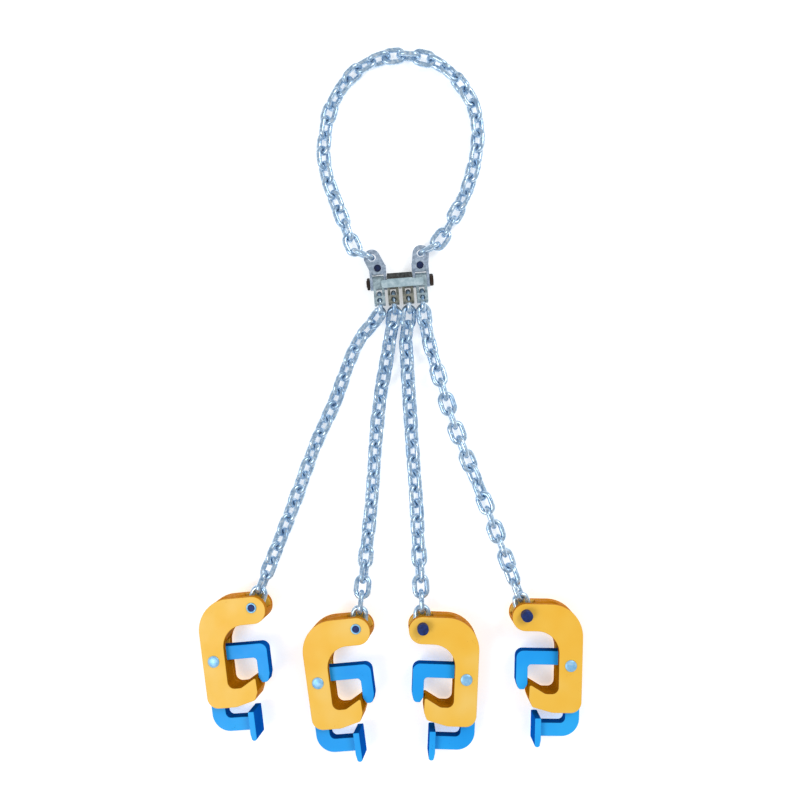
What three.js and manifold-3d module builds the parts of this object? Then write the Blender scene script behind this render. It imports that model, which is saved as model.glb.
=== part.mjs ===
// Four leg chain sling for lifting drums, laid out flat.
// Millimetres, +Z up, the pieces resting on the plane Z = 0, +Y towards the lifting loop.
import * as THREE from "three";
import { mergeVertices } from "three/addons/utils/BufferGeometryUtils.js";
import Module from "manifold-3d";

// ---- driving dimensions --------------------------------------------------

// Short-link chain, 7 mm wire
const WIRE_R = 3.5; // wire radius
const LINK_PITCH = 21; // inside length of a link
const LINK_WIDTH = 24; // outside width of a link
const NOSE_LINK_PITCH = 25.75; // the longer link on each clamp

// Drum clamp, seen in its own frame: x towards the open side, y towards the chain, z across the thickness
const BODY_T = 36; // total thickness
const SLOT_T = 17; // space between the side plates
const SEAM = 0.15; // half the gap left at each seam
const LEVER_T = 16;
const PAD_T = 8.4;
const PAD_W = 34;
const PIVOT = [-61.7, -67.8]; // lever pivot
const NOSE_PIN_R = 4.5;
const PIVOT_PIN_R = 5.9;
const LEVER_OPEN = 16; // degrees the lever opens
const PIN_HEAD = 10.15; // height of the nose pin's head

// Head fitting, in its own frame: a along the cross bolt, b towards the loop, z up
const HEAD = { x: -0.2, y: 162.5, z: 12.2, turn: 4.33 };
const BOLT_R = 5;
const BOLT_HALF = 46;
const LOWER_A = [-29.3, -10.1, 10.1, 29.3]; // leg connectors along the bolt
const UPPER_A = 29.3; // loop connectors along the bolt
const PIN_B = 20.7; // pin of a loop connector above the bolt
const EYE_D = 16.8; // from that pin to the eye
const EYE_LEAN = [24, -8]; // how far each connector's eye is turned about its pin, left and right
const LINK_PIN_B = -22; // pin that carries a leg, below the bolt

// Nose pin positions, each clamp's turn in the plane, the side it opens to, its lean and its middle plane's height.
// The clamps are alike: two lie with the nose pin's head down, and two are turned over.
const CLAMPS = [
  { x: -196.2, y: -277.6, turn: 7.0, open: 1, lean: 8.2, rest: 28.89 },
  { x: -56.5, y: -305.9, turn: 7.6, open: 1, lean: 8.2, rest: 28.89 },
  { x: 30.3, y: -306.9, turn: -2.3, open: -1, lean: 1.2, rest: 21.14 },
  { x: 169.7, y: -289.3, turn: -1.2, open: -1, lean: 1.2, rest: 21.14 },
];
// Waypoints of each leg between its connector and its clamp
const LEG_WAY = [
  [[-37.2, 96.8], [-45, 104], [-54.5, 88], [-67.6, 59], [-90.9, -5], [-116, -60.1], [-144.3, -137.9], [-183.8, -239.6]],
  [[-12, 96.7], [-12.6, 92.4], [-18.5, 53], [-26, 13.5], [-32.7, -47.2], [-38.8, -135.2], [-50.2, -247.5]],
  [[7, 96.5], [7.8, 85.5], [9, 65.5], [10.6, 36.6], [15.9, -47.2], [21.9, -132.2], [29.9, -256.4]],
  [[34, 109], [37.9, 89.7], [42.8, 69], [49.7, 46.9], [61.3, 6.9],
    [82.3, -55], [111.3, -126], [141.5, -206.3], [157.4, -245.9]],
];
// Waypoints of the lifting loop, from the left connector round to the right one
const LOOP_WAY = [
  [-60.6, 204], [-69, 221.5], [-81.8, 256.2], [-93.3, 285.9], [-102.3, 313.9], [-105.8, 343], [-102.3, 371.3], [-96.7, 399.1],
  [-82.9, 426.1], [-61.3, 452.5], [-32.8, 469], [-5.4, 474.2], [15.1, 473.7], [38, 470.1], [60.9, 458.3],
  [81.5, 437.9], [100.6, 406.9], [107.4, 368.2], [103.2, 329.2], [90.7, 285.9], [73, 249.5], [60.4, 227.5], [48.6, 212.5],
];
// Moves the row frame's origin under the middle of the whole sling
const SHIFT = [12.3, 1.78];

// ---- materials -----------------------------------------------------------

const STEEL = { color: 0xb9c4cf, roughness: 0.35, metalness: 0.9 };
const FITTING = { color: 0x8d958d, roughness: 0.45, metalness: 0.85 };
const BAND = { color: 0xc3cccf, roughness: 0.4, metalness: 0.85 };
const DARK = { color: 0x33261f, roughness: 0.6, metalness: 0.6 };
const YELLOW = { color: 0xf7b733, roughness: 0.4, metalness: 0.0 };
const BLUE = { color: 0x1f8fe8, roughness: 0.4, metalness: 0.0 };
const SILVER = { color: 0xbcdcf0, roughness: 0.35, metalness: 0.6 };
const NAVY = { color: 0x12284f, roughness: 0.45, metalness: 0.3 };

// ---- solid helpers -------------------------------------------------------

const wasm = await Module();
wasm.setup();

function solid(geometry) {
  const g = geometry.clone();
  g.deleteAttribute("normal");
  g.deleteAttribute("uv");
  const m = mergeVertices(g, 1e-4);
  return new wasm.Manifold(
    new wasm.Mesh({
      numProp: 3,
      vertProperties: new Float32Array(m.attributes.position.array),
      triVerts: new Uint32Array(m.index.array),
    }),
  );
}

function geometryOf(manifold) {
  const mesh = manifold.getMesh();
  const g = new THREE.BufferGeometry();
  g.setAttribute("position", new THREE.BufferAttribute(new Float32Array(mesh.vertProperties), 3));
  g.setIndex(new THREE.BufferAttribute(new Uint32Array(mesh.triVerts), 1));
  g.computeVertexNormals();
  return g;
}

// Corners [x, y, fillet radius, steps] to a list of points
function rounded(corners) {
  const out = [];
  const n = corners.length;
  for (let i = 0; i < n; i++) {
    const [x, y, r = 0, steps = 3] = corners[i];
    if (!r) {
      out.push([x, y]);
      continue;
    }
    const p = new THREE.Vector2(x, y);
    const a = new THREE.Vector2(...corners[(i + n - 1) % n].slice(0, 2)).sub(p).normalize();
    const b = new THREE.Vector2(...corners[(i + 1) % n].slice(0, 2)).sub(p).normalize();
    const half = Math.acos(THREE.MathUtils.clamp(a.dot(b), -1, 1)) / 2;
    const d = r / Math.tan(half);
    const centre = a.clone().add(b).normalize().multiplyScalar(r / Math.sin(half)).add(p);
    const s = p.clone().addScaledVector(a, d).sub(centre);
    const e = p.clone().addScaledVector(b, d).sub(centre);
    const t0 = Math.atan2(s.y, s.x);
    let dt = Math.atan2(e.y, e.x) - t0;
    while (dt > Math.PI) dt -= 2 * Math.PI;
    while (dt < -Math.PI) dt += 2 * Math.PI;
    for (let k = 0; k <= steps; k++) {
      const t = t0 + (dt * k) / steps;
      out.push([centre.x + r * Math.cos(t), centre.y + r * Math.sin(t)]);
    }
  }
  return out;
}

const circle = (x, y, r, n) =>
  Array.from({ length: n }, (_, i) => [
    x + r * Math.cos((2 * Math.PI * i) / n),
    y + r * Math.sin((2 * Math.PI * i) / n),
  ]);

// A flat plate from z0 to z1, with holes
function plate(points, z0, z1, holes = []) {
  const shape = new THREE.Shape(points.map(([x, y]) => new THREE.Vector2(x, y)));
  for (const h of holes) shape.holes.push(new THREE.Path(h.map(([x, y]) => new THREE.Vector2(x, y))));
  const g = new THREE.ExtrudeGeometry(shape, { depth: z1 - z0, bevelEnabled: false, curveSegments: 1 });
  g.translate(0, 0, z0);
  return g;
}

// A turned piece about Z at x, y: profile is [radius, z] from bottom to top
function turned(profile, x, y, sides = 16) {
  const g = new THREE.LatheGeometry(profile.map(([r, z]) => new THREE.Vector2(r, z)), sides);
  g.rotateX(Math.PI / 2);
  g.translate(x, y, 0);
  return g;
}

// Carries x, y, z of a plate drawn in the b-z plane to a-b-z, from a0 to a1
function acrossBolt(points, a0, a1, holes = []) {
  const g = plate(points, a0, a1, holes);
  g.applyMatrix4(new THREE.Matrix4().set(0, 0, 1, 0, 1, 0, 0, 0, 0, 1, 0, 0, 0, 0, 0, 1));
  return g;
}

// ---- frames --------------------------------------------------------------

const rad = THREE.MathUtils.degToRad;
const headFrame = new THREE.Matrix4()
  .makeTranslation(HEAD.x, HEAD.y, HEAD.z)
  .multiply(new THREE.Matrix4().makeRotationZ(rad(HEAD.turn)));

function clampFrame(c) {
  // the closed side is the low side
  return new THREE.Matrix4()
    .makeTranslation(c.x, c.y, c.rest)
    .multiply(new THREE.Matrix4().makeRotationZ(rad(c.turn)))
    .multiply(new THREE.Matrix4().makeRotationY(c.open > 0 ? -rad(c.lean) : rad(c.lean) + Math.PI));
}

const group = new THREE.Group();
function add(name, geometry, look, frame) {
  const g = geometry.clone();
  if (frame) g.applyMatrix4(frame);
  g.translate(SHIFT[0], SHIFT[1], 0);
  const flat = g.index ? g.toNonIndexed() : g;
  flat.computeVertexNormals();
  const mesh = new THREE.Mesh(flat, new THREE.MeshStandardMaterial(look));
  mesh.name = name;
  group.add(mesh);
}

// ---- chain ---------------------------------------------------------------

// A closed link in the x-y plane, its length along x; h0 and h1 reach from the middle to the bends' wire centres
function linkGeometry(h0, h1, wire = WIRE_R, sides = 8, bend = 5) {
  const w = LINK_WIDTH / 2 - WIRE_R;
  const line = [];
  for (let k = 0; k <= bend; k++) {
    const t = -Math.PI / 2 + (Math.PI * k) / bend;
    line.push([h1 - w + w * Math.cos(t), w * Math.sin(t), t]);
  }
  for (let k = 0; k <= bend; k++) {
    const t = Math.PI / 2 + (Math.PI * k) / bend;
    line.push([-h0 + w + w * Math.cos(t), w * Math.sin(t), t]);
  }
  const p = [];
  const index = [];
  for (const [x, y, t] of line)
    for (let s = 0; s < sides; s++) {
      const a = (2 * Math.PI * (s + 0.5)) / sides;
      p.push(x + wire * Math.cos(a) * Math.cos(t), y + wire * Math.cos(a) * Math.sin(t), wire * Math.sin(a));
    }
  const n = line.length;
  for (let i = 0; i < n; i++)
    for (let s = 0; s < sides; s++) {
      const a = i * sides + s;
      const b = i * sides + ((s + 1) % sides);
      const c = ((i + 1) % n) * sides + s;
      const d = ((i + 1) % n) * sides + ((s + 1) % sides);
      index.push(a, c, b, b, c, d);
    }
  const g = new THREE.BufferGeometry();
  g.setAttribute("position", new THREE.BufferAttribute(new Float32Array(p), 3));
  g.setIndex(index);
  return g;
}

// Places a link: centre, direction, and twist in degrees about the direction (0 lies flat)
function linkFrame(centre, along, twist, level) {
  const t = along.clone().normalize();
  const side = new THREE.Vector3(0, 0, 1).cross(t).normalize();
  const up = new THREE.Vector3().crossVectors(t, side);
  const w = level
    ? new THREE.Vector3().crossVectors(level, t).normalize()
    : side.multiplyScalar(Math.cos(rad(twist))).addScaledVector(up, Math.sin(rad(twist)));
  const z = new THREE.Vector3().crossVectors(t, w);
  return new THREE.Matrix4().makeBasis(t, w, z).setPosition(centre);
}

const half = LINK_PITCH / 2 + WIRE_R; // middle of a link to the wire centre of its bend
const noseHalf = NOSE_LINK_PITCH / 2 + WIRE_R;

// A plain round stand-in for a run of links, along the given points
function runOfLinks(points) {
  const curve = new THREE.CatmullRomCurve3(points, false, "centripetal");
  const r = 8;
  const section = new THREE.Shape(circle(0, 0, r, 8).map(([x, y]) => new THREE.Vector2(x, y)));
  return new THREE.ExtrudeGeometry(section, {
    steps: Math.min(80, Math.round(curve.getLength() / 20)),
    extrudePath: curve,
    bevelEnabled: false,
  });
}

// ---- drum clamp ----------------------------------------------------------

const bodyCorners = [
  [-77.8, 14.6, 44, 8],
  [18.4, 14.6, 18, 6],
  [18.4, -22.1, 18, 6],
  [-45.8, -22.1, 30, 6],
  [-45.8, -106.2, 9, 4],
  [-28.2, -106.2, 10, 2],
  [-6.5, -93.6, 2, 2],
  [-6, -113.4, 8, 2],
  [-10.5, -124.1, 4, 2],
  [-38.2, -131.6, 25, 2],
  [-77.2, -131.6, 15, 5],
];
const leverCorners = [
  [-74, -51, 10, 3],
  [-76.8, -101.2, 20, 1],
  [-76.8, -166.6, 24, 5],
  [-19, -166.6],
  [-19, -148.4],
  [-57.4, -148.4, 7, 3],
  [-57.9, -101.2, 10, 1],
  [-54.4, -83, 6, 1],
  [-50.3, -69.9, 3, 1],
  [-5.2, -69.7, 5, 3],
  [-5.2, -96.6, 1, 1],
  [-1, -103.7, 2, 1],
  [7.2, -103.7, 5, 3],
  [10.6, -92.5, 6, 1],
  [10.6, -51, 10, 4],
];

const bodyOutline = rounded(bodyCorners);
const leverOutline = rounded(leverCorners);
const leverHole = circle(...PIVOT, PIVOT_PIN_R + 0.3, 16);

const leverArm = solid(plate(leverOutline, -LEVER_T / 2, LEVER_T / 2, [leverHole]));

// The space the lever needs between the plates, over its whole travel
function leverSweep() {
  const gap = 0.6;
  let sweep = null;
  for (let k = 0; k <= 8; k++) {
    const a = rad((LEVER_OPEN + 1.5) * (k / 8) - 0.6);
    for (const [dx, dy] of [[gap, 0], [-gap, 0], [0, gap], [0, -gap]]) {
      const g = plate(leverOutline, -20, 20);
      g.translate(-PIVOT[0], -PIVOT[1], 0);
      g.rotateZ(a);
      g.translate(PIVOT[0] + dx, PIVOT[1] + dy, 0);
      const m = solid(g);
      sweep = sweep ? sweep.add(m) : m;
    }
  }
  return sweep;
}

// The space the last link needs in the nose
function linkSweep() {
  const w = LINK_WIDTH / 2 + 0.7;
  let sweep = solid(plate(circle(0, 0, w, 20), -20, 20));
  for (const lean of [-8, 5, 18, 31, 44, 57]) {
    const g = plate([[-w, 0], [w, 0], [w, 60], [-w, 60]], -20, 20);
    g.rotateZ(-rad(lean));
    sweep = sweep.add(solid(g));
  }
  return sweep;
}

const halfT = BODY_T / 2;
const slot = SLOT_T / 2;
const coreSolid = solid(plate(bodyOutline, -slot + SEAM, slot - SEAM)).subtract(leverSweep()).subtract(linkSweep());
const corePieces = coreSolid.decompose().sort((p, q) => q.volume() - p.volume());
const jawFirst = corePieces[0].boundingBox().max[1] < -40;
const coreUpper = geometryOf(corePieces[jawFirst ? 1 : 0]);
const coreJaw = geometryOf(corePieces[jawFirst ? 0 : 1]);

const plateHoles = [circle(0, 0, NOSE_PIN_R + 0.3, 16), circle(...PIVOT, PIVOT_PIN_R + 0.3, 16)];
const sideFront = plate(bodyOutline, slot + SEAM, halfT, plateHoles);
const sideBack = plate(bodyOutline, -halfT, -slot - SEAM, plateHoles);

const PAD_X = -15; // gripping face of the pad
// The pad stands across the foot of the lever; below the arm it thins to a rounded edge
const padOutline = rounded([
  [PAD_X, -139.5, 1.2, 1],
  [PAD_X - PAD_T, -139.5, 1.2, 1],
  [PAD_X - PAD_T, -169, 8, 2],
  [PAD_X - 6.8, -178.6, 3.2, 3],
  [PAD_X, -178.6, 3.2, 3],
]);
const padSolid = solid(plate(padOutline, -PAD_W / 2, PAD_W / 2));
const lever = geometryOf(leverArm.add(padSolid));

const pivotPin = turned(
  [[0, -halfT - 0.6], [6.9, -halfT - 0.6], [7.2, -halfT - 0.1], [PIVOT_PIN_R, -halfT - 0.1], [PIVOT_PIN_R, halfT + 0.15],
    [7.9, halfT + 0.15], [7.9, halfT + 1.1], [7.2, halfT + 1.7], [0, halfT + 1.7]],
  ...PIVOT,
  16,
);
const nosePin = turned(
  [[0, -halfT - PIN_HEAD], [6.9, -halfT - PIN_HEAD], [7.7, -halfT - PIN_HEAD + 0.9], [7.7, -halfT - 0.15], [NOSE_PIN_R, -halfT - 0.15],
    [NOSE_PIN_R, halfT + 0.15], [6.9, halfT + 0.15], [6.9, halfT + 0.9], [6.3, halfT + 1.5], [5, halfT + 1.5],
    [4.6, halfT + 0.5], [0, halfT + 0.5]],
  0,
  0,
  16,
);

CLAMPS.forEach((c, i) => {
  const frame = clampFrame(c);
  const put = (name, g, look) => add(`clamp_${i + 1}_${name}`, g, look, frame);
  put("side_plate_front", sideFront, YELLOW);
  put("side_plate_back", sideBack, YELLOW);
  put("core_upper", coreUpper, YELLOW);
  put("core_jaw", coreJaw, YELLOW);
  put("lever", lever, BLUE);
  put("pivot_pin", pivotPin, SILVER);
  put("nose_pin", nosePin, NAVY);
});

// ---- head fitting --------------------------------------------------------

const onBolt = new THREE.Matrix4().makeRotationY(Math.PI / 2); // turned pieces about the bolt: z becomes a
// round shank with a six-sided head
const boltSolid = solid(turned([[0, -BOLT_HALF], [BOLT_R, -BOLT_HALF], [BOLT_R, 43], [0, 43]], 0, 0, 16)).add(
  solid(turned([[0, 41.2], [8.5, 41.2], [8.5, 45.2], [7.6, 46.2], [0, 46.2]], 0, 0, 6)),
);
add("head_bolt", geometryOf(boltSolid).applyMatrix4(onBolt), DARK, headFrame);
add(
  "head_nut",
  geometryOf(
    solid(turned([[0, -45.2], [7.6, -45.2], [8.5, -44.4], [8.5, -41.2], [0, -41.2]], 0, 0, 6)).subtract(
      solid(turned([[0, -47], [BOLT_R + 0.25, -47], [BOLT_R + 0.25, -40], [0, -40]], 0, 0, 16)),
    ),
  ).applyMatrix4(onBolt),
  DARK,
  headFrame,
);

// T-shaped band over the connectors: a face plate with a rib that hangs on the bolt
const bandFace = plate(rounded([[-25.5, -8.6, 4, 3], [32, -8.6, 4, 3], [32, 1.9, 2, 1], [-25.5, 1.9, 2, 1]]), 14, 17.4);
const bandRib = acrossBolt(rounded([[-7.6, 15], [-9, 0, 6, 2], [-8, -9, 7, 3], [8, -9, 7, 3], [9, 0, 6, 2], [1.5, 15]]), -2, 2);
const boltClear = solid(turned([[0, -60], [BOLT_R + 0.25, -60], [BOLT_R + 0.25, 60], [0, 60]], 0, 0, 16).applyMatrix4(onBolt));
const bandLip = acrossBolt(rounded([[-1, 14.2], [0.4, 17.3], [3, 17.2], [11.2, 13.2], [11.2, 10.6], [9.6, 10.6], [2.6, 14]]), -17.2, 17.2);
add("head_band", geometryOf(solid(bandFace).add(solid(bandLip)).add(solid(bandRib)).subtract(boltClear)), BAND, headFrame);

// Leg connectors: a barrel on the bolt, a fork below it and a face plate across the fork
const connectorOutline = rounded([
  [10.5, 0, 0],
  [9.1, 5.25, 0],
  [5.25, 9.1, 0],
  [0, 10.5, 0],
  [-6, 9.6, 0],
  [-12.7, 8.3, 3, 1],
  [-18.8, 12.8, 0],
  [-18.8, 16, 0],
  [-29, 16, 1.5, 1],
  [-31, 12, 0],
  [-31, -8.5, 6, 3],
  [-10, -9.5, 6, 1],
  [0, -10.5, 0],
  [5.25, -9.1, 0],
  [9.1, -5.25, 0],
]);
const CONNECTOR_HALF = 7.5;
const forkGap = (() => {
  const g = plate([[-4, -40], [4, -40], [4, -8.2], [-4, -8.2]], -20, 12.8);
  return solid(g);
})();
const linkPinClear = (() => {
  const g = turned([[0, -30], [4.2, -30], [4.2, 30], [0, 30]], 0, 0, 14).applyMatrix4(onBolt);
  g.translate(0, LINK_PIN_B, 0);
  return solid(g);
})();
const boreInFace = solid(turned([[0, 10], [3.6, 10], [3.6, 20], [0, 20]], 0, -25, 12));
const legConnector = geometryOf(
  solid(acrossBolt(connectorOutline, -CONNECTOR_HALF, CONNECTOR_HALF))
    .subtract(boltClear)
    .subtract(forkGap)
    .subtract(linkPinClear)
    .subtract(boreInFace),
);
const linkPin = turned([[0, -7.3], [3.4, -7.3], [3.9, -6.8], [3.9, 6.8], [3.4, 7.3], [0, 7.3]], 0, 0, 14)
  .applyMatrix4(onBolt)
  .translate(0, LINK_PIN_B, 0);

// Loop connectors: two cheeks on the bolt and a rounded head with an eye
const cheek = rounded([
  [9.2, -9, 0], [14, -5, 0], [18, -4.3, 0], [18, 4.3, 0], [14, 5, 0], [9.2, 9, 0],
  [0, 9.8, 0], [-5.6, 8, 0], [-9, 3.6, 0], [-9, -3.6, 0], [-5.6, -8, 0], [0, -9.8, 0],
]);
const headPlate = plate(rounded([[-11.6, 12.5, 2, 1], [11.6, 12.5, 2, 1], [11.6, 27, 3, 1], [-11.6, 27, 3, 1]]), -4.3, 4.3);
const headPinClear = solid(turned([[0, -20], [5.1, -20], [5.1, 20], [0, 20]], 0, PIN_B, 16));
function loopConnector(lean) {
  const top = plate(rounded([[-11.3, -7, 6, 3], [11.3, -7, 6, 3], [11.3, EYE_D + 10.8, 11.2, 6], [-11.3, EYE_D + 10.8, 11.2, 6]]), -4.29, 4.29);
  const eye = turned([[0, -20], [5.9, -20], [5.9, 20], [0, 20]], 0, EYE_D, 16);
  for (const g of [top, eye]) g.rotateZ(rad(lean)).translate(0, PIN_B, 0);
  return geometryOf(
    solid(headPlate)
      .add(solid(top))
      .add(solid(acrossBolt(cheek, -11.4, -7.7)))
      .add(solid(acrossBolt(cheek, 7.7, 11.4)))
      .subtract(boltClear)
      .subtract(solid(eye))
      .subtract(headPinClear),
  );
}
const headPin = turned([[0, -5.6], [4.2, -5.6], [4.8, -5], [4.8, 5.2], [4.2, 5.8], [0, 5.8]], 0, PIN_B, 16);
for (const [k, side, a] of [[0, "left", -UPPER_A], [1, "right", UPPER_A]]) {
  const f = headFrame.clone().multiply(new THREE.Matrix4().makeTranslation(a, 0, 0));
  add(`loop_connector_${side}`, loopConnector(EYE_LEAN[k]), FITTING, f);
  add(`loop_connector_pin_${side}`, headPin, DARK, f);
}

// ---- lifting loop --------------------------------------------------------

const toWorld = (a, b, z = 0) => new THREE.Vector3(a, b, z).applyMatrix4(headFrame);
const eyes = [-UPPER_A, UPPER_A].map((a, k) =>
  toWorld(a - EYE_D * Math.sin(rad(EYE_LEAN[k])), PIN_B + EYE_D * Math.cos(rad(EYE_LEAN[k]))),
);
const loopWay = LOOP_WAY.map(([x, y]) => new THREE.Vector3(x, y, HEAD.z));
const endLinks = [0, 1].map((k) => {
  const dir = (k ? loopWay[loopWay.length - 1] : loopWay[0]).clone().sub(eyes[k]).normalize();
  return { dir, centre: eyes[k].clone().addScaledVector(dir, half - 0.7) };
});
const plainLink = linkGeometry(half, half);
["left", "right"].forEach((side, k) =>
  add(`loop_end_link_${side}`, plainLink, STEEL, linkFrame(endLinks[k].centre, endLinks[k].dir, 90)),
);
// Where a run of chain starts, clear of a link's far bend, on its way to the next waypoint
function clearStart(centre, dir, next) {
  const bend = centre.clone().addScaledVector(dir, half);
  const on = next.clone().sub(bend).normalize();
  return bend.addScaledVector(on, WIRE_R + 0.6 + 8.2 * Math.sin(dir.angleTo(on)));
}
add(
  "loop_chain",
  runOfLinks([
    clearStart(endLinks[0].centre, endLinks[0].dir, loopWay[1]),
    ...loopWay.slice(1, -1),
    clearStart(endLinks[1].centre, endLinks[1].dir, loopWay[loopWay.length - 2]),
  ]),
  STEEL,
);

// ---- legs ----------------------------------------------------------------

CLAMPS.forEach((c, i) => {
  const n = i + 1;
  const f = headFrame.clone().multiply(new THREE.Matrix4().makeTranslation(LOWER_A[i], 0, 0));
  add(`leg_${n}_connector`, legConnector, FITTING, f);
  add(`leg_${n}_link_pin`, linkPin, DARK, f);
  const down = new THREE.Vector3(0, -1, 0).transformDirection(headFrame);
  const pin = toWorld(LOWER_A[i], LINK_PIN_B);
  const top = pin.clone().addScaledVector(down, half - WIRE_R - 4.2);
  add(`leg_${n}_top_link`, plainLink, STEEL, linkFrame(top, down, 90));
  const level = new THREE.Vector3(0, 0, 1).transformDirection(clampFrame(c));
  const nose = new THREE.Vector3(c.x, c.y, c.rest);
  const last = LEG_WAY[i][LEG_WAY[i].length - 1];
  const up = new THREE.Vector3(last[0] - c.x, last[1] - c.y, 0).normalize();
  up.addScaledVector(level, -up.dot(level)).normalize();
  const noseCentre = nose.clone().addScaledVector(up, noseHalf - WIRE_R - NOSE_PIN_R - 0.1);
  add(`leg_${n}_nose_link`, linkGeometry(noseHalf, noseHalf), STEEL, linkFrame(noseCentre, up.clone().negate(), 0, level));
  const way = LEG_WAY[i].map(([x, y], k, all) => new THREE.Vector3(x, y, k === all.length - 1 ? 15 : 10.5));
  add(
    `leg_${n}_chain`,
    runOfLinks([
      clearStart(top, down, way[1]),
      ...way.slice(1, -1),
      noseCentre.clone().addScaledVector(up, noseHalf + WIRE_R + 0.6),
    ]),
    STEEL,
  );
});
export default group;
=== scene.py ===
import math
import random

import bpy
from mathutils import Matrix, Vector


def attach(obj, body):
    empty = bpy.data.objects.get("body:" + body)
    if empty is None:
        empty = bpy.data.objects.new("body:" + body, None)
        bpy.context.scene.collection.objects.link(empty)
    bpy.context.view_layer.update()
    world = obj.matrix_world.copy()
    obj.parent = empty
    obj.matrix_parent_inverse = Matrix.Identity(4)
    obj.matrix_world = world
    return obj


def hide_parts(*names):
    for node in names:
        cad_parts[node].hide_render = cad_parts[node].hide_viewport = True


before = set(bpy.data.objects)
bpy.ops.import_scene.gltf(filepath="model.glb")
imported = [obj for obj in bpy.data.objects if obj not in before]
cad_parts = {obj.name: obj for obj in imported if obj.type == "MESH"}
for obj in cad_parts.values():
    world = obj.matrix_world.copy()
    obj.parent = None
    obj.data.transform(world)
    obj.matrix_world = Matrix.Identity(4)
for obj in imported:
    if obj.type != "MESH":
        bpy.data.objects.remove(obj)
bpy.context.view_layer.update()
MM = 0.001
rnd = random.Random(7)

# ---- the sling's dimensions, millimetres, as the model has them ------------

WIRE_R, LINK_PITCH, LINK_WIDTH, NOSE_LINK_PITCH = 3.5, 21.0, 24.0, 25.75
BODY_T, SLOT_T, SEAM, LEVER_T = 36.0, 17.0, 0.15, 16.0
PAD_T, PAD_W, PAD_X = 8.4, 34.0, -15.0
PIVOT = (-61.7, -67.8)
NOSE_PIN_R, PIVOT_PIN_R = 4.5, 5.9
PIN_HEAD = 10.15
HEAD, HEAD_TURN = (-0.2, 162.5, 12.2), 4.33
BOLT_R = 5.0
LOWER_A, UPPER_A, LINK_PIN_B = (-29.3, -10.1, 10.1, 29.3), 29.3, -22.0
PIN_B, EYE_D, EYE_LEAN = 20.7, 16.8, (24, -8)
# nose pin x, y, turn, side it opens to, lean, height
CLAMPS = [
    (-196.2, -277.6, 7.0, 1, 8.2, 28.89),
    (-56.5, -305.9, 7.6, 1, 8.2, 28.89),
    (30.3, -306.9, -2.3, -1, 1.2, 21.14),
    (169.7, -289.3, -1.2, -1, 1.2, 21.14),
]
LEG_WAY = [
    [(-37.2, 96.8), (-43.2, 100.5), (-54.2, 86.5), (-67.6, 59), (-90.9, -5), (-116, -60.1), (-144.3, -137.9), (-183.8, -239.6)],
    [(-12, 96.7), (-12.6, 92.4), (-18.5, 53), (-26, 13.5), (-32.7, -47.2), (-38.8, -135.2), (-50.2, -247.5)],
    [(7, 96.5), (7.8, 85.5), (9, 65.5), (10.6, 36.6), (15.9, -47.2), (21.9, -132.2), (29.9, -256.4)],
    [(34, 109), (37.9, 89.7), (42.8, 69), (49.7, 46.9), (61.3, 6.9), (82.3, -55), (111.3, -126), (141.5, -206.3), (157.4, -245.9)],
]
LOOP_WAY = [
    (-60.6, 204), (-69, 221.5), (-81.8, 256.2), (-93.3, 285.9), (-102.3, 313.9), (-105.8, 343), (-102.3, 371.3), (-96.7, 399.1),
    (-82.9, 426.1), (-61.3, 452.5), (-32.8, 469), (-5.4, 474.2), (15.1, 473.7), (38, 470.1), (60.9, 458.3),
    (81.5, 437.9), (100.6, 406.9), (107.4, 368.2), (103.2, 329.2), (90.7, 285.9), (73, 249.5), (60.4, 227.5), (48.6, 212.5),
]
SHIFT = (12.3, 1.78)

shift = Matrix.Translation((SHIFT[0], SHIFT[1], 0))
head_frame = shift @ Matrix.Translation(HEAD) @ Matrix.Rotation(math.radians(HEAD_TURN), 4, "Z")


def clamp_frame(c):
    x, y, turn, side, lean, rest = c
    return (
        shift
        @ Matrix.Translation((x, y, rest))
        @ Matrix.Rotation(math.radians(turn), 4, "Z")
        @ Matrix.Rotation(-math.radians(lean) if side > 0 else math.radians(lean) + math.pi, 4, "Y")
    )


# ---- camera ----------------------------------------------------------------

target = Vector((SHIFT[0], SHIFT[1], 10.0)) * MM
n = Vector((0, 0, 1))
cam = bpy.data.cameras.new("camera")
cam.lens, cam.sensor_width = 38.152, 36.0
cam.clip_start, cam.clip_end = 0.05, 30.0
camera = bpy.data.objects.new("camera", cam)
bpy.context.collection.objects.link(camera)
right = (-n).cross(Vector((0, 1, 0))).normalized()
up = right.cross(-n)
rot = Matrix((right, up, n)).transposed().to_4x4()
camera.matrix_world = Matrix.Translation(target + n * 1.17) @ rot
bpy.context.scene.camera = camera

# ---- materials -------------------------------------------------------------


def srgb(h):
    out = []
    for k in (0, 2, 4):
        v = int(h[k : k + 2], 16) / 255
        out.append(v / 12.92 if v <= 0.04045 else ((v + 0.055) / 1.055) ** 2.4)
    return (*out, 1.0)


def new_material(name):
    m = bpy.data.materials.new(name)
    m.use_nodes = True
    t = m.node_tree
    b = t.nodes["Principled BSDF"]
    coord = t.nodes.new("ShaderNodeTexCoord")
    return m, t, b, coord


def noise(t, coord, scale, detail=3.0, rough=0.5, stretch=None):
    nz = t.nodes.new("ShaderNodeTexNoise")
    nz.inputs["Scale"].default_value = scale
    nz.inputs["Detail"].default_value = detail
    nz.inputs["Roughness"].default_value = rough
    if stretch:
        mp = t.nodes.new("ShaderNodeMapping")
        mp.inputs["Scale"].default_value = stretch
        t.links.new(coord.outputs["Object"], mp.inputs["Vector"])
        t.links.new(mp.outputs["Vector"], nz.inputs["Vector"])
    else:
        t.links.new(coord.outputs["Object"], nz.inputs["Vector"])
    return nz


def ramp(t, source, stops):
    r = t.nodes.new("ShaderNodeValToRGB")
    e = r.color_ramp.elements
    while len(e) < len(stops):
        e.new(0.5)
    for k, (p, c) in enumerate(stops):
        e[k].position = p
        e[k].color = c if len(c) == 4 else (*c, 1.0)
    t.links.new(source, r.inputs["Fac"])
    return r


def grey(v):
    return (v, v, v, 1.0)


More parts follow.
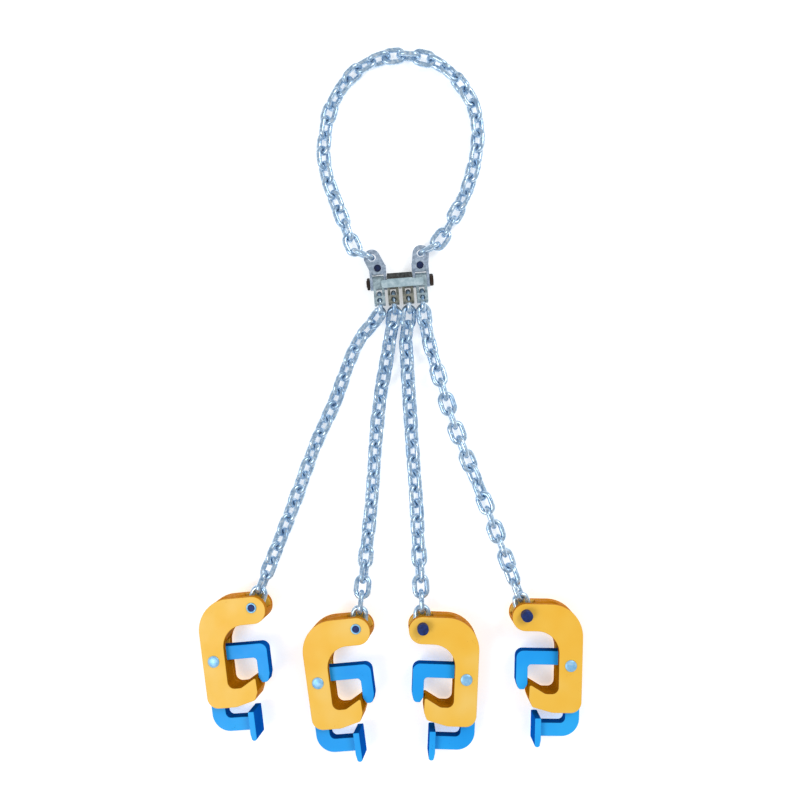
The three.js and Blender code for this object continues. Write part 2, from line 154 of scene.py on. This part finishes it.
def bump(t, b, source, strength, distance, into=None):
    bp = t.nodes.new("ShaderNodeBump")
    bp.inputs["Strength"].default_value = strength
    bp.inputs["Distance"].default_value = distance
    t.links.new(source, bp.inputs["Height"])
    if into is not None:
        t.links.new(into.outputs["Normal"], bp.inputs["Normal"])
    t.links.new(bp.outputs["Normal"], b.inputs["Normal"])
    return bp


def mix(t, fac, a, b_):
    m = t.nodes.new("ShaderNodeMix")
    m.data_type = "RGBA"
    t.links.new(fac, m.inputs[0])
    for s, v in ((m.inputs[6], a), (m.inputs[7], b_)):
        if isinstance(v, tuple):
            s.default_value = v
        else:
            t.links.new(v, s)
    return m.outputs[2]


def metal(name, dark, mid, light, metallic, rough_lo, rough_hi, spots=None, scale=160.0, tarnish=0.0):
    m, t, b, c = new_material(name)
    n1 = noise(t, c, scale, 5.0, 0.6)
    n2 = noise(t, c, 38.0, 3.0, 0.5)
    col = ramp(t, n1.outputs["Fac"], [(0.28, dark), (0.5, mid), (0.72, light)]).outputs["Color"]
    if spots:
        sp = ramp(t, n2.outputs["Fac"], [(0.55, grey(0)), (0.75, grey(tarnish))])
        col = mix(t, sp.outputs["Color"], col, spots)
    t.links.new(col, b.inputs["Base Color"])
    b.inputs["Metallic"].default_value = metallic
    r = ramp(t, n2.outputs["Fac"], [(0.3, grey(rough_lo)), (0.7, grey(rough_hi))])
    t.links.new(r.outputs["Color"], b.inputs["Roughness"])
    b1 = bump(t, b, n1.outputs["Fac"], 0.25, 0.0003)
    n3 = noise(t, c, 900.0, 2.0)
    bump(t, b, n3.outputs["Fac"], 0.12, 0.00008, b1)
    return m


def enamel(name, base, shade, glow, chip, coat=0.12, rough=0.42, spec=0.35, fleck=0.5):
    """Paint: slow colour drift, orange peel, a few chips and rubbed patches."""
    m, t, b, c = new_material(name)
    drift = noise(t, c, 14.0, 2.0, 0.5)
    col = ramp(t, drift.outputs["Fac"], [(0.3, shade), (0.5, base), (0.72, glow)]).outputs["Color"]
    fine = noise(t, c, 420.0, 4.0, 0.65)
    patch = noise(t, c, 60.0, 3.0, 0.6)
    mul = t.nodes.new("ShaderNodeMath")
    mul.operation = "MULTIPLY"
    t.links.new(fine.outputs["Fac"], mul.inputs[0])
    t.links.new(patch.outputs["Fac"], mul.inputs[1])
    chips = ramp(t, mul.outputs[0], [(0.40, grey(0)), (0.44, grey(fleck))])
    col = mix(t, chips.outputs["Color"], col, chip)
    t.links.new(col, b.inputs["Base Color"])
    r = ramp(t, patch.outputs["Fac"], [(0.3, grey(rough - 0.06)), (0.7, grey(rough + 0.1))])
    t.links.new(r.outputs["Color"], b.inputs["Roughness"])
    b.inputs["Specular IOR Level"].default_value = spec
    b.inputs["Coat Weight"].default_value = coat
    b.inputs["Coat Roughness"].default_value = 0.25
    peel = noise(t, c, 330.0, 2.0, 0.5)
    bp = bump(t, b, peel.outputs["Fac"], 0.2, 0.00022)
    bump(t, b, chips.outputs["Color"], -0.25, 0.0002, bp)
    return m


CHAIN = metal("chain_zinc", srgb("7396BC"), srgb("B4D0E8"), srgb("F2FAFF"), 0.74, 0.16, 0.34, srgb("7CA0C4"), 240.0, 0.55)
FITTING = metal("fitting_cast", srgb("7F9299"), srgb("A3B7BE"), srgb("CBDCE0"), 0.6, 0.34, 0.55, srgb("74807A"), 260.0, 0.55)
# painted shade: a darker olive-brown copy of the fitting steel for connectors 2 and 3, which lie in shade below the
# band
OLIVE_PAINTED_SHADE = metal("fitting_olive_painted_shade", srgb("5E5F4C"), srgb("85867A"), srgb("A9A9A2"), 0.55, 0.38, 0.6, srgb("6A5F44"), 260.0, 0.6)
EYE_STEEL = metal("connector_steel", srgb("7C8CA0"), srgb("A5B5C8"), srgb("CFDCEA"), 0.6, 0.3, 0.5, srgb("6C8078"), 240.0, 0.5)
BAND = metal("band_steel", srgb("93ACB6"), srgb("B4CBD3"), srgb("DCEBF0"), 0.5, 0.28, 0.45, srgb("8AA6A6"), 120.0, 0.45)
DARK = metal("bolt_black", srgb("17100C"), srgb("2A1E17"), srgb("4A372A"), 0.5, 0.4, 0.62, srgb("4C3120"), 300.0, 0.5)
SPOT = metal("pin_blue_black", srgb("040C26"), srgb("071B48"), srgb("143062"), 0.35, 0.45, 0.62, srgb("050A1C"), 300.0, 0.4)
# painted shade: a dark copy of the band steel for the band's back lip, which faces away from the lamps
BAND_LIP_PAINTED_SHADE = metal("lip_painted_shade", srgb("2B2A28"), srgb("434645"), srgb("666C6C"), 0.5, 0.42, 0.6, srgb("37291D"), 260.0, 0.4)
YELLOW = enamel("enamel_yellow", srgb("FDC648"), srgb("FCBE36"), srgb("FED068"), srgb("DC9A2C"), 0.08, 0.45, 0.3)
# painted shade: a darker orange copy of the yellow paint for the clamps' sideways faces and their core pieces; its
# chips are real wear
ENAMEL_SIDE_PAINTED_SHADE = enamel("enamel_side_painted_shade", srgb("C87C08"), srgb("B86F04"), srgb("D6880E"), srgb("8A5208"), 0.0, 0.62, 0.04)
# painted shade: a still darker brown copy of the yellow paint for the faces inside the hook's throat; its chips are
# real wear
ENAMEL_THROAT_PAINTED_SHADE = enamel("enamel_throat_painted_shade", srgb("AE6A06"), srgb("925404"), srgb("BE780C"), srgb("643A04"), 0.0, 0.6, 0.0)
BLUE = enamel("enamel_blue", srgb("1EA8FC"), srgb("169EF6"), srgb("2CB4FF"), srgb("1670BC"), 0.06, 0.45, 0.2)
# painted shade: a darker copy of the blue paint for the lever's and pad's sideways faces
BLUE_SIDE_PAINTED_SHADE = enamel("enamel_blue_side_painted_shade", srgb("0554B2"), srgb("044AA2"), srgb("0860C2"), srgb("053878"), 0.0, 0.6, 0.0)
SILVER = metal("pin_bright", srgb("7DBCEA"), srgb("96D0F8"), srgb("C6E8FC"), 0.35, 0.25, 0.4, srgb("6CA8D8"), 200.0, 0.4)
NAVY = metal("pin_blued", srgb("041340"), srgb("08286A"), srgb("103A86"), 0.2, 0.5, 0.66, srgb("050C2C"), 220.0, 0.4)
RING = metal("pin_rim", srgb("5A9CC8"), srgb("7FBDE2"), srgb("B4DCF2"), 0.4, 0.3, 0.45, srgb("3A7498"), 220.0, 0.3)

# ---- shape helpers ---------------------------------------------------------


def rounded(corners, finer=3):
    out = []
    count = len(corners)
    for i, corner in enumerate(corners):
        x, y = corner[:2]
        r = corner[2] if len(corner) > 2 else 0
        steps = max(4, int((corner[3] if len(corner) > 3 else 3) * finer))
        if not r:
            out.append((x, y))
            continue
        p = Vector((x, y))
        a = (Vector(corners[i - 1][:2]) - p).normalized()
        b = (Vector(corners[(i + 1) % count][:2]) - p).normalized()
        half = math.acos(max(-1, min(1, a.dot(b)))) / 2
        d = r / math.tan(half)
        centre = p + (a + b).normalized() * (r / math.sin(half))
        s, e = p + a * d - centre, p + b * d - centre
        t0 = math.atan2(s.y, s.x)
        dt = math.atan2(e.y, e.x) - t0
        while dt > math.pi:
            dt -= 2 * math.pi
        while dt < -math.pi:
            dt += 2 * math.pi
        for k in range(steps + 1):
            t = t0 + dt * k / steps
            out.append((centre.x + r * math.cos(t), centre.y + r * math.sin(t)))
    return out


def circle(x, y, r, sides=40):
    return [(x + r * math.cos(2 * math.pi * i / sides), y + r * math.sin(2 * math.pi * i / sides)) for i in range(sides)]


def finish_mesh(name, mesh, matrix, materials, body, nodes=(), angle=38, weighted=True):
    """Puts a mesh drawn in millimetres into the row frame and hangs it on a body."""
    mesh.transform(Matrix.Scale(MM, 4) @ matrix)
    mesh.update()
    for m in materials:
        mesh.materials.append(m)
    mesh.shade_smooth()
    if angle:
        mesh.set_sharp_from_angle(angle=math.radians(angle))
    mesh.name = name
    o = bpy.data.objects.new(name, mesh)
    bpy.context.collection.objects.link(o)
    if weighted:
        w = o.modifiers.new("weighted", "WEIGHTED_NORMAL")
        w.keep_sharp = True
        w.weight = 60
    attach(o, body)
    if nodes:
        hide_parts(*nodes)
    return o


def slab(outline, z0, z1, bevel, holes=(), segments=3):
    """A flat plate with softened edges; faces that look sideways get material 1, which the callers fill with a darker
    painted-shade copy of the top's paint.
    """
    cu = bpy.data.curves.new("slab", "CURVE")
    cu.dimensions = "2D"
    cu.fill_mode = "BOTH"
    for pts in [outline, *holes]:
        sp = cu.splines.new("POLY")
        sp.points.add(len(pts) - 1)
        for k, (x, y) in enumerate(pts):
            sp.points[k].co = (x, y, 0, 1)
        sp.use_cyclic_u = True
    cu.extrude = (z1 - z0) / 2 - bevel
    cu.bevel_depth = bevel
    cu.bevel_resolution = segments - 1
    cu.offset = -bevel
    o = bpy.data.objects.new("slab", cu)
    bpy.context.collection.objects.link(o)
    dg = bpy.context.evaluated_depsgraph_get()
    mesh = bpy.data.meshes.new_from_object(o.evaluated_get(dg))
    bpy.data.objects.remove(o)
    bpy.data.curves.remove(cu)
    mesh.transform(Matrix.Translation((0, 0, (z0 + z1) / 2)))
    weld(mesh, 0.004)
    mesh.materials.clear()
    for p in mesh.polygons:
        p.material_index = 1 if abs(p.normal.z) < 0.45 else 0
    return mesh


def weld(mesh, distance):
    import bmesh

    bm = bmesh.new()
    bm.from_mesh(mesh)
    bmesh.ops.remove_doubles(bm, verts=bm.verts, dist=distance)
    bmesh.ops.recalc_face_normals(bm, faces=bm.faces)
    bm.to_mesh(mesh)
    bm.free()


def lathe(profile, x=0.0, y=0.0, sides=48, indices=None):
    """A turned piece about Z; profile is [radius, z] from bottom to top; indices gives each band's material."""
    verts, faces, mats = [], [], []
    rings = []
    for r, z in profile:
        if r < 1e-6:
            rings.append([len(verts)])
            verts.append((x, y, z))
        else:
            rings.append(list(range(len(verts), len(verts) + sides)))
            verts += [(x + r * math.cos(2 * math.pi * k / sides), y + r * math.sin(2 * math.pi * k / sides), z) for k in range(sides)]
    for i in range(len(rings) - 1):
        a, b = rings[i], rings[i + 1]
        mi = indices[i] if indices else 0
        for k in range(sides):
            k2 = (k + 1) % sides
            if len(a) == 1 and len(b) == 1:
                continue
            if len(a) == 1:
                faces.append((a[0], b[k2], b[k]))
            elif len(b) == 1:
                faces.append((a[k], a[k2], b[0]))
            else:
                faces.append((a[k], a[k2], b[k2], b[k]))
            mats.append(mi)
    mesh = bpy.data.meshes.new("lathe")
    mesh.from_pydata(verts, [], faces)
    for p, mi in zip(mesh.polygons, mats):
        p.material_index = mi
    mesh.update()
    return mesh


def join_meshes(meshes):
    import bmesh

    bm = bmesh.new()
    for m in meshes:
        bm.from_mesh(m)
    out = bpy.data.meshes.new("joined")
    bm.to_mesh(out)
    bm.free()
    return out


def placed(mesh, matrix):
    mesh.transform(matrix)
    if matrix.to_3x3().determinant() < 0:
        mesh.flip_normals()
    return mesh


# carries x, y, z of a plate drawn in the b-z plane to a-b-z
ACROSS = Matrix(((0, 0, 1, 0), (1, 0, 0, 0), (0, 1, 0, 0), (0, 0, 0, 1)))
ON_BOLT = Matrix.Rotation(math.pi / 2, 4, "Y")

# ---- chain -----------------------------------------------------------------

W = LINK_WIDTH / 2 - WIRE_R
HALF = LINK_PITCH / 2 + WIRE_R
NOSE_HALF = NOSE_LINK_PITCH / 2 + WIRE_R


def link_points(half, matrix, verts, faces, sides=14, bend=12, straight=6, weld_side=1):
    """Adds one closed link: round wire, with the slight swelling of its weld on one side."""
    line = []
    s = half - W
    for k in range(bend):
        t = -math.pi / 2 + math.pi * k / bend
        line.append((s + W * math.cos(t), W * math.sin(t), t, 1.0))
    for k in range(straight):
        x = s - 2 * s * k / straight
        line.append((x, W, math.pi / 2, 1.0 + (0.06 * math.exp(-((x / 1.7) ** 2)) if weld_side > 0 else 0)))
    for k in range(bend):
        t = math.pi / 2 + math.pi * k / bend
        line.append((-s + W * math.cos(t), W * math.sin(t), t, 1.0))
    for k in range(straight):
        x = -s + 2 * s * k / straight
        line.append((x, -W, -math.pi / 2, 1.0 + (0.06 * math.exp(-((x / 1.7) ** 2)) if weld_side < 0 else 0)))
    base = len(verts)
    for x, y, t, f in line:
        for k in range(sides):
            a = 2 * math.pi * k / sides
            r = WIRE_R * f
            p = matrix @ Vector((x + r * math.cos(a) * math.cos(t), y + r * math.cos(a) * math.sin(t), r * math.sin(a)))
            verts.append(tuple(p))
    count = len(line)
    for i in range(count):
        j = (i + 1) % count
        for k in range(sides):
            l = (k + 1) % sides
            faces.append((base + i * sides + k, base + j * sides + k, base + j * sides + l, base + i * sides + l))


def link_frame(centre, along, twist=0.0, level=None):
    t = along.normalized()
    if level is not None:
        w = level.cross(t).normalized()
    else:
        side = Vector((0, 0, 1)).cross(t).normalized()
        upv = t.cross(side)
        w = side * math.cos(math.radians(twist)) + upv * math.sin(math.radians(twist))
    z = t.cross(w)
    m = Matrix((t, w, z)).transposed().to_4x4()
    m.translation = centre
    return m


def single_link(name, half, matrix, body, node, weld_side=1):
    verts, faces = [], []
    link_points(half, matrix, verts, faces, sides=18, bend=16, straight=8, weld_side=weld_side)
    mesh = bpy.data.meshes.new(name)
    mesh.from_pydata(verts, [], faces)
    return finish_mesh(name, mesh, Matrix.Identity(4), [CHAIN], body, [node], angle=None, weighted=False)


def smooth_curve(points, per=24):
    """Centripetal Catmull-Rom through the points, as a dense polyline."""
    p = [points[0] * 2 - points[1], *points, points[-1] * 2 - points[-2]]
    out = []
    for i in range(1, len(p) - 2):
        p0, p1, p2, p3 = p[i - 1], p[i], p[i + 1], p[i + 2]
        t0 = 0.0
        t1 = t0 + max(1e-6, (p1 - p0).length) ** 0.5
        t2 = t1 + max(1e-6, (p2 - p1).length) ** 0.5
        t3 = t2 + max(1e-6, (p3 - p2).length) ** 0.5
        for k in range(per):
            t = t1 + (t2 - t1) * k / per
            a1 = p0 * ((t1 - t) / (t1 - t0)) + p1 * ((t - t0) / (t1 - t0))
            a2 = p1 * ((t2 - t) / (t2 - t1)) + p2 * ((t - t1) / (t2 - t1))
            a3 = p2 * ((t3 - t) / (t3 - t2)) + p3 * ((t - t2) / (t3 - t2))
            b1 = a1 * ((t2 - t) / (t2 - t0)) + a2 * ((t - t0) / (t2 - t0))
            b2 = a2 * ((t3 - t) / (t3 - t1)) + a3 * ((t - t1) / (t3 - t1))
            out.append(b1 * ((t2 - t) / (t2 - t1)) + b2 * ((t - t1) / (t2 - t1)))
    out.append(points[-1].copy())
    return out


def equal_steps(line, count):
    """count + 1 points on the polyline, each the same straight distance from the next."""

    def walk(c):
        pts = [line[0].copy()]
        i = 0
        while len(pts) <= count:
            p = pts[-1]
            j = i + 1
            while j < len(line) and (line[j] - p).length < c:
                j += 1
            if j >= len(line):
                return pts, -(c * (count - len(pts) + 1)) + (line[-1] - p).length - 1e-3
            a, b = line[j - 1], line[j]
            lo, hi = 0.0, 1.0
            for _ in range(30):
                mid = (lo + hi) / 2
                if (a.lerp(b, mid) - p).length < c:
                    lo = mid
                else:
                    hi = mid
            pts.append(a.lerp(b, hi))
            i = j - 1
        rest = sum((line[k + 1] - line[k]).length for k in range(i + 1, len(line) - 1)) + (line[i + 1] - pts[-1]).length
        return pts, rest

    lo, hi = 5.0, 40.0
    for _ in range(50):
        mid = (lo + hi) / 2
        pts, rest = walk(mid)
        if len(pts) <= count or rest < 0:
            hi = mid
        else:
            lo = mid
    pts, _ = walk(lo)
    pts[-1] = line[-1].copy()
    return pts, lo


def chain(name, joints, twists, body, node):
    verts, faces = [], []
    for i in range(len(joints) - 1):
        a, b = joints[i], joints[i + 1]
        # its bends reach just past its neighbours' wire
        half = (b - a).length / 2 + WIRE_R + 0.03
        link_points(half, link_frame((a + b) / 2, b - a, twists[i]), verts, faces, weld_side=1 if i % 2 else -1)
    mesh = bpy.data.meshes.new(name)
    mesh.from_pydata(verts, [], faces)
    return finish_mesh(name, mesh, Matrix.Identity(4), [CHAIN], body, [node], angle=None, weighted=False)


def declare_chain(joints):
    length = sum((joints[k + 1] - joints[k]).length for k in range(len(joints) - 1)) * MM
    return length


FLAT = 10.65  # height of a run of links that lies on the floor, its links at 45 degrees
# turn of each link on top of the quarter turn from link to link; the top link stands on edge
LEG_TURN = [
    [40, 42, 46, 42, 48, 44, 41, 47, 45, 42, 48, 45, 43, 47, 44, 46, 43, 42, 36, 18],
    [28, 40, 44, 48, 42, 44, 46, 48, 45, 42, 47, 43, 46, 43, 43, 38, 30, 18, 8, 0],
    [28, 40, 43, 46, 43, 45, 42, 46, 44, 47, 43, 45, 42, 47, 43, 38, 30, 18, 8, 0],
    [28, 38, 38, 30, 20, 10, 4, 0, 4, 12, 22, 36, 52, 68, 80, 86, 94, 110, 133, 157],
]


def lying_height(twist):
    """Height of a level link's middle when its lower edge touches the floor."""
    return W * abs(math.sin(math.radians(twist))) + WIRE_R * 1.06 + 0.05


down = (head_frame.to_3x3() @ Vector((0, -1, 0))).normalized()
lengths = {}
chain_info = []
for i, c in enumerate(CLAMPS):
    num = i + 1
    pin = head_frame @ Vector((LOWER_A[i], LINK_PIN_B, 0))
    top = pin + down * (HALF - WIRE_R - 4.2)
    single_link(f"leg_{num}_top_link_look", HALF, link_frame(top, down, 90), f"leg_{num}_top_link", f"leg_{num}_top_link")
    cf = clamp_frame(c)
    level = (cf.to_3x3() @ Vector((0, 0, 1))).normalized()
    nose = cf.translation.copy()
    last = LEG_WAY[i][-1]
    upv = Vector((last[0] - c[0], last[1] - c[1], 0)).normalized()
    upv = (upv - level * upv.dot(level)).normalized()
    nose_centre = nose + upv * (NOSE_HALF - WIRE_R - NOSE_PIN_R - 0.1)
    single_link(f"leg_{num}_nose_link_look", NOSE_HALF, link_frame(nose_centre, -upv, level=level), f"leg_{num}", f"leg_{num}_nose_link")
    start = top + down * (LINK_PITCH / 2)
    end = nose_centre + upv * (NOSE_LINK_PITCH / 2)
    way = [Vector((x, y, FLAT)) + Vector((*SHIFT, 0)) for x, y in LEG_WAY[i]]
    pts = [start, start + down * 6, *way[1:-1]]
    # it lifts off the floor over the last stretch, up to the clamp's nose
    last_flat = pts[-1]
    span = end - last_flat
    reach = span.xy.length
    for back in (96, 72, 48, 24):
        if back < reach - 8:
            pts.append(end - span * (back / reach))
    for q in pts[3:]:
        q.z = FLAT + (end.z - FLAT) * max(0.0, 1 - (end - q).xy.length / 120) ** 1.6
    pts.append(end)
    joints, step = equal_steps(smooth_curve(pts), 20)
    sign = 1 if c[3] > 0 else -1
    twists = [sign * (phi + rnd.uniform(-2, 2)) + 90 * (k % 2) for k, phi in enumerate(LEG_TURN[i])]
    # no link dips into the floor
    for k in range(1, 20):
        joints[k].z = max(joints[k].z, lying_height(twists[k - 1]), lying_height(twists[k]))
    # the last link stands on edge between the side plates, so the nose link can lie level
    o = chain(f"leg_{num}_links", joints, twists, f"leg_{num}", f"leg_{num}_chain")
    lengths[f"leg_{num}"] = declare_chain(joints)
    chain_info.append((num, round(step, 2), round(min(p.z for p in joints), 1), [round(t) for t in twists]))

eyes = [
    head_frame @ Vector((a - EYE_D * math.sin(math.radians(t)), PIN_B + EYE_D * math.cos(math.radians(t)), 0))
    for a, t in zip((-UPPER_A, UPPER_A), EYE_LEAN)
]
loop_way = [Vector((x, y, HEAD[2])) + Vector((*SHIFT, 0)) for x, y in LOOP_WAY]
ends = []
for k, side in enumerate(("left", "right")):
    d = ((loop_way[-1] if k else loop_way[0]) - eyes[k]).normalized()
    centre = eyes[k] + d * (HALF - 0.7)
    ends.append((centre, d))
    single_link(f"loop_end_link_{side}_look", HALF, link_frame(centre, d, 90), "loop", f"loop_end_link_{side}")
pts = [ends[0][0] + ends[0][1] * 10.5, *loop_way[1:-1], ends[1][0] + ends[1][1] * 10.5]
joints, step = equal_steps(smooth_curve(pts), 32)
# turn of each link on top of the quarter turn from link to link, so that some lie flat and most lie at a slant
LOOP_TURN = [
    12, 26, 38, 45, 45, 45, 47, 52, 62, 70, 64, 54, 48, 52, 68, 86, 90, 88, 70, 52, 54, 64, 56, 48, 46, 45, 45, 46, 50, 60, 74, 90,
]
twists = [turn + 90 * (k % 2) + rnd.uniform(-3, 3) for k, turn in enumerate(LOOP_TURN)]
o = chain("loop_links", joints, twists, "loop", "loop_chain")
lengths["loop"] = declare_chain(joints)
chain_info.append(("loop", round(step, 2), len(twists)))
print("chains", chain_info, {k: round(v, 4) for k, v in lengths.items()})

# ---- drum clamps -----------------------------------------------------------

body_corners = [
    (-77.8, 14.6, 44, 8), (18.4, 14.6, 18, 6), (18.4, -22.1, 18, 6), (-45.8, -22.1, 30, 6), (-45.8, -106.2, 9, 4),
    (-28.2, -106.2, 10, 2), (-6.5, -93.6, 2, 2), (-6, -113.4, 8, 2), (-10.5, -124.1, 4, 2), (-38.2, -131.6, 25, 2), (-77.2, -131.6, 15, 5),
]
lever_corners = [
    (-74, -51, 10, 3), (-76.8, -101.2, 20, 1), (-76.8, -166.6, 24, 5), (-19, -166.6), (-19, -148.4), (-57.4, -148.4, 7, 3),
    (-57.9, -101.2, 10, 1), (-54.4, -83, 6, 1), (-50.3, -69.9, 3, 1), (-5.2, -69.7, 5, 3), (-5.2, -96.6, 1, 1), (-1, -103.7, 2, 1),
    (7.2, -103.7, 5, 3), (10.6, -92.5, 6, 1), (10.6, -51, 10, 4),
]
pad_corners = [
    (PAD_X, -139.5, 1.2, 1), (PAD_X - PAD_T, -139.5, 1.2, 1), (PAD_X - PAD_T, -169, 8, 2), (PAD_X - 6.8, -178.6, 3.2, 3), (PAD_X, -178.6, 3.2, 3),
]
half_t, slot_h = BODY_T / 2, SLOT_T / 2
outline = rounded(body_corners)
lever_line = rounded(lever_corners)


def copied(node):
    """A welded copy of a CAD node's mesh, in metres, in the row frame."""
    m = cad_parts[node].data.copy()
    weld(m, 0.00002)
    m.materials.clear()
    return m


def in_throat(p):
    """Whether a point of the clamp, in its own frame, lies on the inner side of its hook shape, where faces get the
    brown painted shade.
    """
    return p.x > -47.5 and -108.5 < p.y < -40


for i, c in enumerate(CLAMPS):
    num = i + 1
    cf = clamp_frame(c)
    body, arm = f"clamp_{num}", f"lever_{num}"
    holes = [circle(0, 0, NOSE_PIN_R + 0.3), circle(*PIVOT, PIVOT_PIN_R + 0.3)]
    for part, z0, z1 in (("front", slot_h + SEAM, half_t), ("back", -half_t, -slot_h - SEAM)):
        mesh = slab(outline, z0, z1, 0.9, holes)
        for p in mesh.polygons:
            # sideways faces inside the hook's throat get the brown painted shade
            if p.material_index and in_throat(p.center):
                p.material_index = 2
        finish_mesh(f"{body}_plate_{part}", mesh, cf, [YELLOW, ENAMEL_SIDE_PAINTED_SHADE, ENAMEL_THROAT_PAINTED_SHADE], body, [f"{body}_side_plate_{part}"])
    for part in ("core_upper", "core_jaw"):
        mesh = copied(f"{body}_{part}")
        into = cf.inverted() @ Matrix.Scale(1000, 4)
        # the core pieces show only sideways faces: orange painted shade, brown painted shade inside the throat
        for p in mesh.polygons:
            p.material_index = 1 if in_throat(into @ p.center) else 0
        finish_mesh(f"{body}_{part}_look", mesh, Matrix.Scale(1000, 4), [ENAMEL_SIDE_PAINTED_SHADE, ENAMEL_THROAT_PAINTED_SHADE], body, [f"{body}_{part}"], angle=40)
    mesh = slab(lever_line, -LEVER_T / 2, LEVER_T / 2, 0.9, [circle(*PIVOT, PIVOT_PIN_R + 0.3)])
    # the arm's and pad's sideways faces get the blue paint's painted-shade copy
    finish_mesh(f"{arm}_arm", mesh, cf, [BLUE, BLUE_SIDE_PAINTED_SHADE], arm, [f"{body}_lever"])
    pad = slab(rounded(pad_corners), -PAD_W / 2, PAD_W / 2, 1.0)
    finish_mesh(f"{arm}_pad", pad, cf, [BLUE, BLUE_SIDE_PAINTED_SHADE], arm, [f"{body}_lever"])
    profile = [
        (0, -half_t - 0.6), (6.6, -half_t - 0.6), (7.1, -half_t - 0.35), (7.2, -half_t - 0.1), (PIVOT_PIN_R, -half_t - 0.1),
        (PIVOT_PIN_R, half_t + 0.15), (7.9, half_t + 0.15), (7.9, half_t + 0.75), (7.6, half_t + 1.2), (6.9, half_t + 1.6),
        (5.4, half_t + 2.0), (3.6, half_t + 2.3), (1.8, half_t + 2.45), (0, half_t + 2.5),
    ]
    if c[3] < 0:
        profile = [(r, -z) for r, z in reversed(profile)]
    mesh = lathe(profile, *PIVOT)
    finish_mesh(f"{body}_pivot_pin_look", mesh, cf, [SILVER], body, [f"{body}_pivot_pin"], angle=30)
    mesh = lathe(
        [(0, -half_t - PIN_HEAD), (6.6, -half_t - PIN_HEAD), (7.4, -half_t - PIN_HEAD + 0.35), (7.7, -half_t - PIN_HEAD + 1.0), (7.7, -half_t - 0.15), (NOSE_PIN_R, -half_t - 0.15),
         (NOSE_PIN_R, half_t + 0.15), (6.9, half_t + 0.15), (6.9, half_t + 0.8), (6.6, half_t + 1.3), (6.1, half_t + 1.5),
         (5.2, half_t + 1.45), (4.8, half_t + 0.6), (0, half_t + 0.5)],
        0.0, 0.0, indices=[0, 0, 0, 0, 0, 0, 0, 1, 1, 1, 1, 1, 0],
    )
    finish_mesh(f"{body}_nose_pin_look", mesh, cf, [NAVY, RING], body, [f"{body}_nose_pin"], angle=30)

# ---- head fitting ----------------------------------------------------------


def dressed(node, name, materials, body, bevel=0.5, angle=35, pick=None):
    """A CAD node's own shape with its sharp edges softened."""
    mesh = copied(node)
    for m in materials:
        mesh.materials.append(m)
    if pick:
        for p in mesh.polygons:
            p.material_index = pick(p)
    mesh.shade_smooth()
    mesh.set_sharp_from_angle(angle=math.radians(angle))
    mesh.name = name
    o = bpy.data.objects.new(name, mesh)
    bpy.context.collection.objects.link(o)
    bv = o.modifiers.new("bevel", "BEVEL")
    bv.width = bevel * MM
    bv.segments = 3
    bv.limit_method = "ANGLE"
    bv.angle_limit = math.radians(38)
    bv.harden_normals = False
    bv.use_clamp_overlap = True
    w = o.modifiers.new("weighted", "WEIGHTED_NORMAL")
    w.keep_sharp = True
    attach(o, body)
    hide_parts(node)
    return o


dressed("head_bolt", "head_bolt_look", [DARK], "head", 0.5)
dressed("head_nut", "head_nut_look", [DARK], "head", 0.4)
to_head = (head_frame.inverted()).to_3x3()


# painted shade: the band's back lip gets the dark material, the rest of the band the plain steel
def band_lip_painted_shade_pick(p):
    centre = head_frame.inverted() @ (p.center * 1000)
    return 1 if centre.y > 5.2 and centre.z > 7.5 else 0


dressed("head_band", "head_band_look", [BAND, BAND_LIP_PAINTED_SHADE], "head", 0.4, pick=band_lip_painted_shade_pick)
for side, body in (("left", "loop"), ("right", "loop_right")):
    dressed(f"loop_connector_{side}", f"loop_connector_{side}_look", [EYE_STEEL], body, 0.7)
    dressed(f"loop_connector_pin_{side}", f"loop_connector_pin_{side}_look", [SPOT], body, 0.3)
for num in range(1, 5):
    # connectors 2 and 3 take the fitting steel's darker painted-shade copy
    dressed(f"leg_{num}_connector", f"leg_{num}_connector_look", [OLIVE_PAINTED_SHADE if num in (2, 3) else FITTING], f"leg_{num}_connector", 0.5)
    dressed(f"leg_{num}_link_pin", f"leg_{num}_link_pin_look", [DARK], f"leg_{num}_connector", 0.3)

# ---- floor and light -------------------------------------------------------

mesh = bpy.data.meshes.new("floor")
mesh.from_pydata([(-4, -4, 0), (4, -4, 0), (4, 4, 0), (-4, 4, 0)], [], [(0, 1, 2, 3)])
floor = bpy.data.objects.new("floor", mesh)
bpy.context.collection.objects.link(floor)
fm, ft, fb, fc = new_material("floor_white")
fn = noise(ft, fc, 3.0, 2.0)
fr = ramp(ft, fn.outputs["Fac"], [(0.3, grey(0.86)), (0.7, grey(0.88))])
ft.links.new(fr.outputs["Color"], fb.inputs["Base Color"])
fb.inputs["Roughness"].default_value = 0.9
fb.inputs["Specular IOR Level"].default_value = 0.0
fb.inputs["Emission Color"].default_value = (1, 1, 1, 1)
fb.inputs["Emission Strength"].default_value = 0.45
mesh.materials.append(fm)

world = bpy.data.worlds.new("studio")
bpy.context.scene.world = world
world.use_nodes = True
bg = world.node_tree.nodes["Background"]
bg.inputs["Color"].default_value = (0.93, 0.96, 1.0, 1)
bg.inputs["Strength"].default_value = 0.55


def area(name, location, aim, size, power, colour=(1, 1, 1)):
    light = bpy.data.lights.new(name, "AREA")
    light.shape = "RECTANGLE"
    light.size, light.size_y = size
    light.energy = power
    light.color = colour
    o = bpy.data.objects.new(name, light)
    bpy.context.collection.objects.link(o)
    o.location = location
    o.rotation_euler = (Vector(aim) - Vector(location)).to_track_quat("-Z", "Y").to_euler()
    return o


area("key", (-1.5, -0.9, 2.1), (0, 0, 0), (1.2, 1.2), 22.0)
area("fill", (1.5, 1.2, 2.1), (0, 0, 0), (1.2, 1.2), 25.0)

bpy.context.scene.view_settings.view_transform = "Standard"
bpy.context.scene.view_settings.look = "None"
